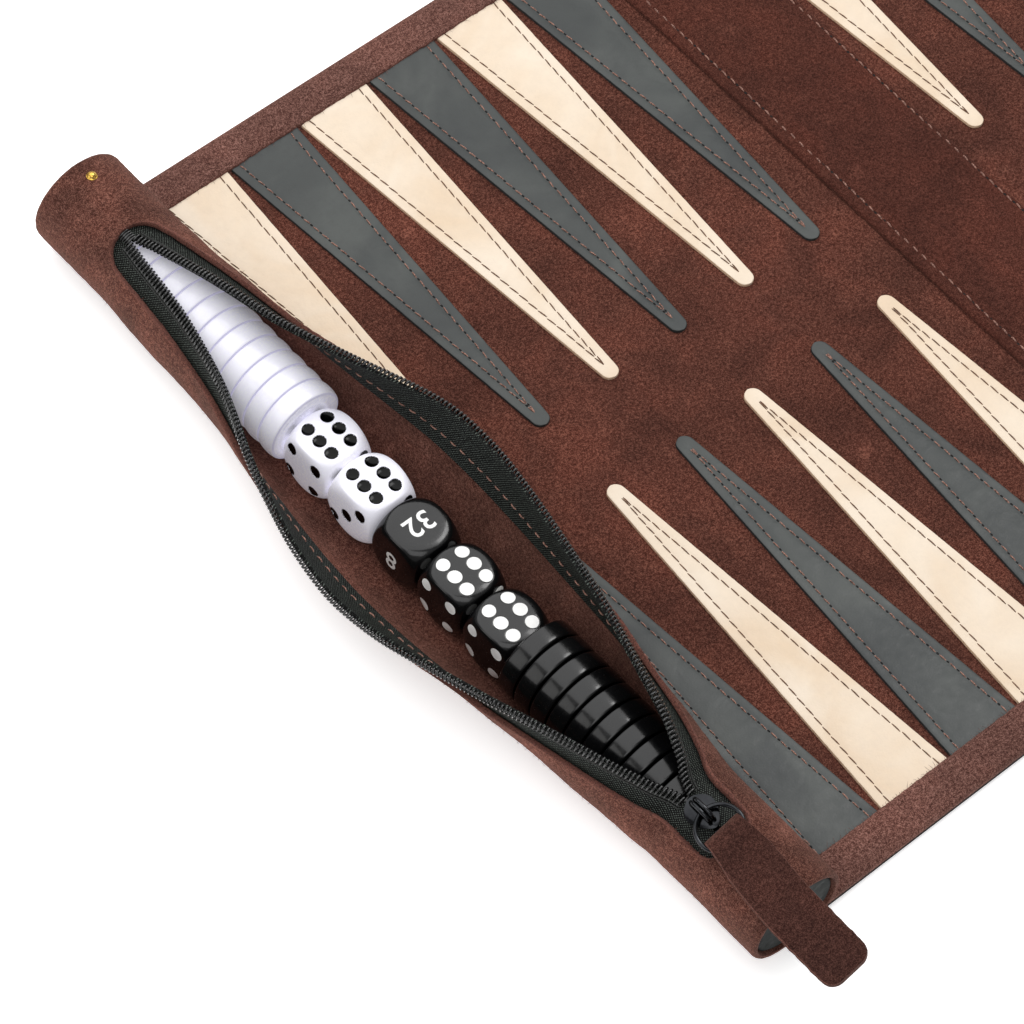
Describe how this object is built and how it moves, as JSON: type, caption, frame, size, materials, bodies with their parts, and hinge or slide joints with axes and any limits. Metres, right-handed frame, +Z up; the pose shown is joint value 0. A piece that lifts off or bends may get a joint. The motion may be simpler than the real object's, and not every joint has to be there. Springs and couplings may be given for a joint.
{
  "type": "roll-up backgammon set",
  "caption": "Roll-up travel backgammon board of suede with stitched leather points and an end pouch, zipped, that holds the checkers, dice and doubling cube.",
  "frame": {"origin": "on the surface that the set lies on, under the middle of the board's centre bar", "axes": "+Z up; +X along the board, away from the pouch; +Y along the pouch, towards its closed far end, away from the zip slider at rest"},
  "size_m": [0.3437, 0.2631, 0.0321],
  "materials": {
    "suede": "dark brown suede with a raised nap",
    "light_leather": "smooth natural veg-tanned leather, satin",
    "dark_leather": "smooth charcoal grey leather, satin",
    "zip_tape": "black woven polyester tape",
    "zip_coil": "black nylon coil",
    "gunmetal": "black nickel, polished",
    "brass": "polished dome",
    "white_plastic": "gloss white plastic",
    "black_plastic": "gloss black plastic"
  },
  "bodies": {
    "root": {"pouch_base": "suede", "far_end_disc": "dark_leather", "near_end_disc": "dark_leather", "end_rivet": "brass", "zip_stops": "gunmetal", "mat_strip_01": "suede", "points_01": "light_leather"},
    "lip_left": {"pouch_wall_left": "suede", "zip_tape_left": "zip_tape", "zip_teeth_left": "zip_coil"},
    "lip_right": {"pouch_wall_right": "suede", "zip_tape_right": "zip_tape", "zip_teeth_right": "zip_coil"},
    "slider": {"zip_slider": "gunmetal"},
    "ring": {"pull_ring": "gunmetal"},
    "tab": {"pull_tab": "suede"},
    "strip_02": {"mat_strip_02": "suede", "points_02": "dark_leather"},
    "strip_03": {"mat_strip_03": "suede", "points_03": "light_leather"},
    "strip_04": {"mat_strip_04": "suede", "points_04": "dark_leather"},
    "strip_05": {"mat_strip_05": "suede", "points_05": "light_leather"},
    "strip_06": {"mat_strip_06": "suede", "points_06": "dark_leather"},
    "bar_strip": {"mat_bar_strip": "suede"},
    "strip_07": {"mat_strip_07": "suede", "points_07": "light_leather"},
    "strip_08": {"mat_strip_08": "suede", "points_08": "dark_leather"},
    "strip_09": {"mat_strip_09": "suede", "points_09": "light_leather"},
    "strip_10": {"mat_strip_10": "suede", "points_10": "dark_leather"},
    "strip_11": {"mat_strip_11": "suede", "points_11": "light_leather"},
    "strip_12": {"mat_strip_12": "suede", "points_12": "dark_leather"},
    "die_white_1": {"die_white_1": "white_plastic"},
    "die_white_2": {"die_white_2": "white_plastic"},
    "doubling_cube": {"doubling_cube": "black_plastic"},
    "die_black_1": {"die_black_1": "black_plastic"},
    "die_black_2": {"die_black_2": "black_plastic"},
    "checker_white_01": {"checker_white_01": "white_plastic"},
    "checker_white_02": {"checker_white_02": "white_plastic"},
    "checker_white_03": {"checker_white_03": "white_plastic"},
    "checker_white_04": {"checker_white_04": "white_plastic"},
    "checker_white_05": {"checker_white_05": "white_plastic"},
    "checker_white_06": {"checker_white_06": "white_plastic"},
    "checker_white_07": {"checker_white_07": "white_plastic"},
    "checker_black_01": {"checker_black_01": "black_plastic"},
    "checker_black_02": {"checker_black_02": "black_plastic"},
    "checker_black_03": {"checker_black_03": "black_plastic"},
    "checker_black_04": {"checker_black_04": "black_plastic"},
    "checker_black_05": {"checker_black_05": "black_plastic"},
    "checker_black_06": {"checker_black_06": "black_plastic"},
    "checker_black_07": {"checker_black_07": "black_plastic"},
    "white_stack": {"checkers_white_rest": "white_plastic"},
    "black_stack": {"checkers_black_rest": "black_plastic"}
  },
  "joints": [
    {"name": "zip_slide", "type": "slide", "parent": "root", "child": "slider", "axis": [0, 1, 0], "range_m": [0, 0.185], "deforming": ["pouch_wall_left", "pouch_wall_right", "zip_tape_left", "zip_tape_right", "zip_teeth_left", "zip_teeth_right"]},
    {"name": "lip_left_close", "type": "hinge", "parent": "root", "child": "lip_left", "pos_m": [-0.16927, 0, 0.00199], "axis": [0, 1, 0], "range_deg": [0, 89.25]},
    {"name": "lip_right_close", "type": "hinge", "parent": "root", "child": "lip_right", "pos_m": [-0.14846, 0, 0.01438], "axis": [0, -1, 0], "range_deg": [0, 76.99]},
    {"name": "ring_swing", "type": "hinge", "parent": "slider", "child": "ring", "pos_m": [-0.16485, -0.094, 0.02659], "axis": [-0.9455, 0, -0.3256], "range_deg": [0, 100]},
    {"name": "tab_swing", "type": "hinge", "parent": "ring", "child": "tab", "pos_m": [-0.16485, -0.1052, 0.02659], "axis": [-0.9455, 0, -0.3256], "range_deg": [0, 60]},
    {"name": "roll_01", "type": "hinge", "parent": "root", "child": "strip_02", "pos_m": [-0.123, 0, 0.0039], "axis": [0, -1, 0], "range_deg": [0, 22.5]},
    {"name": "roll_02", "type": "hinge", "parent": "strip_02", "child": "strip_03", "pos_m": [-0.1017, 0, 0.0039], "axis": [0, -1, 0], "range_deg": [0, 23.51]},
    {"name": "roll_03", "type": "hinge", "parent": "strip_03", "child": "strip_04", "pos_m": [-0.0804, 0, 0.0039], "axis": [0, -1, 0], "range_deg": [0, 24.51]},
    {"name": "roll_04", "type": "hinge", "parent": "strip_04", "child": "strip_05", "pos_m": [-0.0591, 0, 0.0039], "axis": [0, -1, 0], "range_deg": [0, 26.01]},
    {"name": "roll_05", "type": "hinge", "parent": "strip_05", "child": "strip_06", "pos_m": [-0.0378, 0, 0.0039], "axis": [0, -1, 0], "range_deg": [0, 28.01]},
    {"name": "roll_06", "type": "hinge", "parent": "strip_06", "child": "bar_strip", "pos_m": [-0.0165, 0, 0.0039], "axis": [0, -1, 0], "range_deg": [0, 38.51]},
    {"name": "roll_07", "type": "hinge", "parent": "bar_strip", "child": "strip_07", "pos_m": [0.0165, 0, 0.0039], "axis": [0, -1, 0], "range_deg": [0, 42.51]},
    {"name": "roll_08", "type": "hinge", "parent": "strip_07", "child": "strip_08", "pos_m": [0.0378, 0, 0.0039], "axis": [0, -1, 0], "range_deg": [0, 37.01]},
    {"name": "roll_09", "type": "hinge", "parent": "strip_08", "child": "strip_09", "pos_m": [0.0591, 0, 0.0039], "axis": [0, -1, 0], "range_deg": [0, 42.51]},
    {"name": "roll_10", "type": "hinge", "parent": "strip_09", "child": "strip_10", "pos_m": [0.0804, 0, 0.0039], "axis": [0, -1, 0], "range_deg": [0, 49.51]},
    {"name": "roll_11", "type": "hinge", "parent": "strip_10", "child": "strip_11", "pos_m": [0.1017, 0, 0.0039], "axis": [0, -1, 0], "range_deg": [0, 59.51]},
    {"name": "roll_12", "type": "hinge", "parent": "strip_11", "child": "strip_12", "pos_m": [0.123, 0, 0.0039], "axis": [0, -1, 0], "range_deg": [0, 65.01]},
    {"name": "die_white_1_lift", "type": "slide", "parent": "root", "child": "die_white_1", "axis": [0, 0, 1], "range_m": [0, 0.125]},
    {"name": "die_white_2_lift", "type": "slide", "parent": "root", "child": "die_white_2", "axis": [0, 0, 1], "range_m": [0, 0.125]},
    {"name": "doubling_cube_lift", "type": "slide", "parent": "root", "child": "doubling_cube", "axis": [0, 0, 1], "range_m": [0, 0.125]},
    {"name": "die_black_1_lift", "type": "slide", "parent": "root", "child": "die_black_1", "axis": [0, 0, 1], "range_m": [0, 0.125]},
    {"name": "die_black_2_lift", "type": "slide", "parent": "root", "child": "die_black_2", "axis": [0, 0, 1], "range_m": [0, 0.125]},
    {"name": "checker_white_01_lift", "type": "slide", "parent": "root", "child": "checker_white_01", "axis": [0, 0, 1], "range_m": [0, 0.125]},
    {"name": "checker_white_02_lift", "type": "slide", "parent": "root", "child": "checker_white_02", "axis": [0, 0, 1], "range_m": [0, 0.125]},
    {"name": "checker_white_03_lift", "type": "slide", "parent": "root", "child": "checker_white_03", "axis": [0, 0, 1], "range_m": [0, 0.125]},
    {"name": "checker_white_04_lift", "type": "slide", "parent": "root", "child": "checker_white_04", "axis": [0, 0, 1], "range_m": [0, 0.125]},
    {"name": "checker_white_05_lift", "type": "slide", "parent": "root", "child": "checker_white_05", "axis": [0, 0, 1], "range_m": [0, 0.125]},
    {"name": "checker_white_06_lift", "type": "slide", "parent": "root", "child": "checker_white_06", "axis": [0, 0, 1], "range_m": [0, 0.125]},
    {"name": "checker_white_07_lift", "type": "slide", "parent": "root", "child": "checker_white_07", "axis": [0, 0, 1], "range_m": [0, 0.125]},
    {"name": "checker_black_01_lift", "type": "slide", "parent": "root", "child": "checker_black_01", "axis": [0, 0, 1], "range_m": [0, 0.125]},
    {"name": "checker_black_02_lift", "type": "slide", "parent": "root", "child": "checker_black_02", "axis": [0, 0, 1], "range_m": [0, 0.125]},
    {"name": "checker_black_03_lift", "type": "slide", "parent": "root", "child": "checker_black_03", "axis": [0, 0, 1], "range_m": [0, 0.125]},
    {"name": "checker_black_04_lift", "type": "slide", "parent": "root", "child": "checker_black_04", "axis": [0, 0, 1], "range_m": [0, 0.125]},
    {"name": "checker_black_05_lift", "type": "slide", "parent": "root", "child": "checker_black_05", "axis": [0, 0, 1], "range_m": [0, 0.125]},
    {"name": "checker_black_06_lift", "type": "slide", "parent": "root", "child": "checker_black_06", "axis": [0, 0, 1], "range_m": [0, 0.125]},
    {"name": "checker_black_07_lift", "type": "slide", "parent": "root", "child": "checker_black_07", "axis": [0, 0, 1], "range_m": [0, 0.125]},
    {"name": "white_stack_shift", "type": "slide", "parent": "root", "child": "white_stack", "axis": [0, 1, 0], "range_m": [0, 0.0018]},
    {"name": "black_stack_shift", "type": "slide", "parent": "root", "child": "black_stack", "axis": [0, -1, 0], "range_m": [0, 0.0035]}
  ],
  "couplings": [
    {"joint": "roll_02", "follows": "roll_01", "ratio": 1.0444},
    {"joint": "roll_03", "follows": "roll_01", "ratio": 1.0889},
    {"joint": "roll_04", "follows": "roll_01", "ratio": 1.1556},
    {"joint": "roll_05", "follows": "roll_01", "ratio": 1.2444},
    {"joint": "roll_06", "follows": "roll_01", "ratio": 1.7111},
    {"joint": "roll_07", "follows": "roll_01", "ratio": 1.8889},
    {"joint": "roll_08", "follows": "roll_01", "ratio": 1.6444},
    {"joint": "roll_09", "follows": "roll_01", "ratio": 1.8889},
    {"joint": "roll_10", "follows": "roll_01", "ratio": 2.2},
    {"joint": "roll_11", "follows": "roll_01", "ratio": 2.6444},
    {"joint": "roll_12", "follows": "roll_01", "ratio": 2.8889},
    {"joint": "lip_left_close", "follows": "zip_slide", "rad_per_m": 8.419},
    {"joint": "lip_right_close", "follows": "zip_slide", "rad_per_m": 7.2624}
  ]
}
